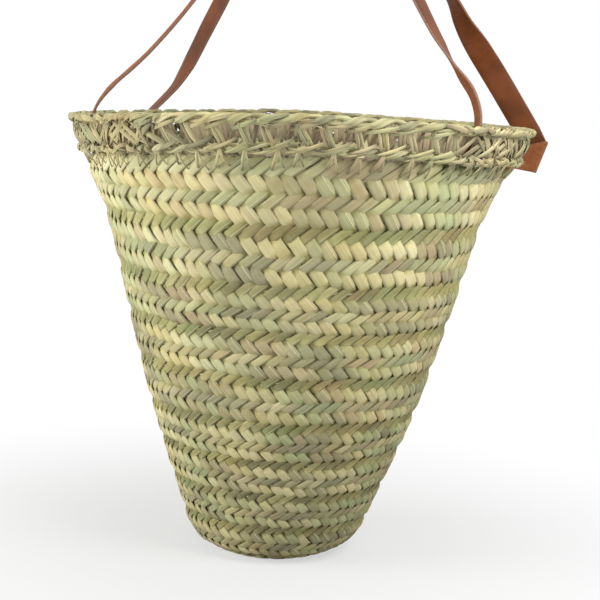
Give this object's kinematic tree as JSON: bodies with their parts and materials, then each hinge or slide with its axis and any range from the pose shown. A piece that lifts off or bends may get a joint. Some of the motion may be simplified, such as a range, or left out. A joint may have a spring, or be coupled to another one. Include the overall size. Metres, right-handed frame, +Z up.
{
  "type": "basket bag",
  "caption": "Tapered plaited palm-leaf basket bag with a laced openwork border and leather strap handles that swing out from the rim.",
  "frame": {"origin": "centre of the flat base, on the floor plane", "axes": "+Z up the basket's axis, +X towards one handle, the mirror plane between the handles is YZ"},
  "size_m": [0.3986, 0.3986, 0.6171],
  "materials": {
    "palm_plait": "dry plaited palm leaf",
    "seam_cord": "twisted palm cord",
    "palm_rope": "twisted palm rope",
    "palm_lace": "thin palm strands",
    "leather_strap": "smooth brown grain side",
    "leather_flesh": "lighter napped flesh side",
    "thread": "waxed thread"
  },
  "bodies": {
    "basket": {"base_disc": "palm_plait", "wall_course_1": "palm_plait", "wall_course_2": "palm_plait", "wall_course_3": "palm_plait", "wall_course_4": "palm_plait", "wall_course_5": "palm_plait", "wall_course_6": "palm_plait", "wall_course_7": "palm_plait", "wall_course_8": "palm_plait", "wall_course_9": "palm_plait", "seam_cord_1": "seam_cord", "seam_cord_2": "seam_cord", "seam_cord_3": "seam_cord", "seam_cord_4": "seam_cord", "seam_cord_5": "seam_cord", "seam_cord_6": "seam_cord", "seam_cord_7": "seam_cord", "seam_cord_8": "seam_cord", "seam_cord_9": "seam_cord", "border_rope_lower": "palm_rope", "border_rope_upper": "palm_rope", "border_lattice_outer": "palm_lace", "border_lattice_inner": "palm_lace", "edge_binding_outer": "palm_lace", "edge_binding_inner": "palm_lace", "right_outer_foot": "leather_flesh", "right_inner_foot": "leather_flesh", "left_outer_foot": "leather_flesh", "left_inner_foot": "leather_flesh", "right_outer_stitch": "thread", "right_inner_stitch": "thread", "left_outer_stitch": "thread", "left_inner_stitch": "thread"},
    "right_handle": {"right_handle_strap": "leather_strap"},
    "left_handle": {"left_handle_strap": "leather_strap"}
  },
  "joints": [
    {"name": "right_handle_swing", "type": "hinge", "parent": "basket", "child": "right_handle", "pos_m": [0.192, 0.112, 0.349], "axis": [0.1303, 0.9795, -0.1535], "range_deg": [0, 100]},
    {"name": "left_handle_swing", "type": "hinge", "parent": "basket", "child": "left_handle", "pos_m": [-0.192, 0.112, 0.349], "axis": [0.1303, -0.9795, 0.1535], "range_deg": [0, 100]}
  ]
}
